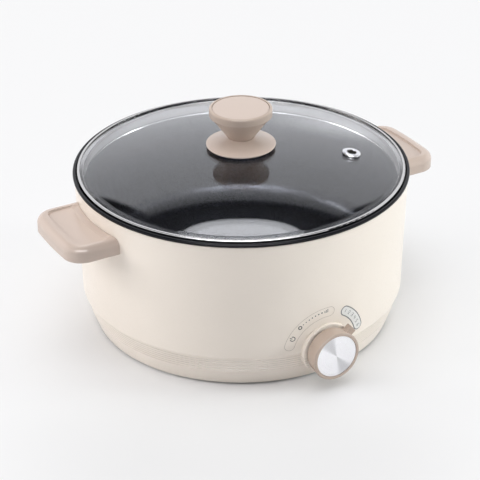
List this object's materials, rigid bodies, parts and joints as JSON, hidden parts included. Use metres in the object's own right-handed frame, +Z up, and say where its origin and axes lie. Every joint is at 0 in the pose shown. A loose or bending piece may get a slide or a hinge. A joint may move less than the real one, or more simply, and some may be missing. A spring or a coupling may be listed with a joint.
{
  "type": "electric hot pot with lid",
  "caption": "Round electric hot pot with a moulded housing, side handles, front dial and a lift-off domed glass lid.",
  "frame": {"origin": "on the table, at the pot's axis", "axes": "+Z up along the pot's axis, +X towards the right handle seen from the dial side, -Y towards the dial"},
  "size_m": [0.377, 0.3272, 0.2022],
  "materials": {
    "cream": "fine satin moulded plastic",
    "taupe": "soft satin moulded plastic",
    "nonstick": "dark non-stick coating on drawn aluminium",
    "rim_steel": "polished stainless steel",
    "lid_glass": "clear tempered glass",
    "spun_metal": "spun aluminium with a conical sheen",
    "steel": "zinc plated steel",
    "brass": "turned brass",
    "copper": "bare copper tube",
    "bare_aluminium": "cast aluminium",
    "element_sheath": "oxidised tube sheath",
    "dark_plastic": "dark moulded plastic",
    "pale_plastic": "pale heat-resistant moulding",
    "window_grey": "frosted clear plastic",
    "lamp_amber": "small lamp envelope",
    "dark_rubber": "soft dark rubber",
    "grey_rubber": "silicone rubber",
    "wire_sleeve": "braided glass sleeve on wire"
  },
  "bodies": {
    "root": {"bottom_cover": "dark_plastic", "capillary_tube": "copper", "clip_screws": "steel", "cover_screws": "steel", "element_terminals": "steel", "fuse_clip": "steel", "heat_shield": "steel", "heat_spreader": "bare_aluminium", "heating_element": "element_sheath", "housing": "cream", "indicator_lamp": "lamp_amber", "indicator_lens": "window_grey", "inlet_pins": "brass", "inlet_screws": "steel", "inlet_socket": "dark_plastic", "inner_pot": "nonstick", "lamp_holder": "pale_plastic", "left_handle": "taupe", "left_handle_cover": "taupe", "left_handle_cover_screws": "steel", "left_handle_screws": "steel", "phial_clip": "steel", "right_handle": "taupe", "right_handle_cover": "taupe", "right_handle_cover_screws": "steel", "right_handle_screws": "steel", "rubber_foot_1": "dark_rubber", "rubber_foot_2": "dark_rubber", "rubber_foot_3": "dark_rubber", "rubber_foot_4": "dark_rubber", "sensor_phial": "copper", "terminal_block": "pale_plastic", "thermal_fuse": "wire_sleeve", "thermostat_body": "pale_plastic", "thermostat_bracket": "steel", "thermostat_screws": "steel"},
    "lid": {"lid_band": "rim_steel", "lid_glass": "lid_glass", "steam_vent": "rim_steel", "vent_seal": "dark_rubber", "lid_knob_gasket": "dark_rubber", "lid_knob_base": "taupe", "lid_knob": "taupe", "lid_knob_cap": "taupe", "lid_knob_insert": "brass", "lid_knob_seal": "grey_rubber", "lid_knob_washer": "rim_steel", "lid_knob_screw": "steel"},
    "dial": {"dial_ring": "taupe", "dial_cap": "spun_metal", "dial_shaft": "steel"}
  },
  "joints": [
    {"name": "lid_lift", "type": "slide", "parent": "root", "child": "lid", "axis": [0, 0, 1], "range_m": [0, 0.15]},
    {"name": "dial_turn", "type": "hinge", "parent": "root", "child": "dial", "pos_m": [0, -0.155, 0.0332], "axis": [0, -1, 0], "range_deg": [0, 120]}
  ]
}
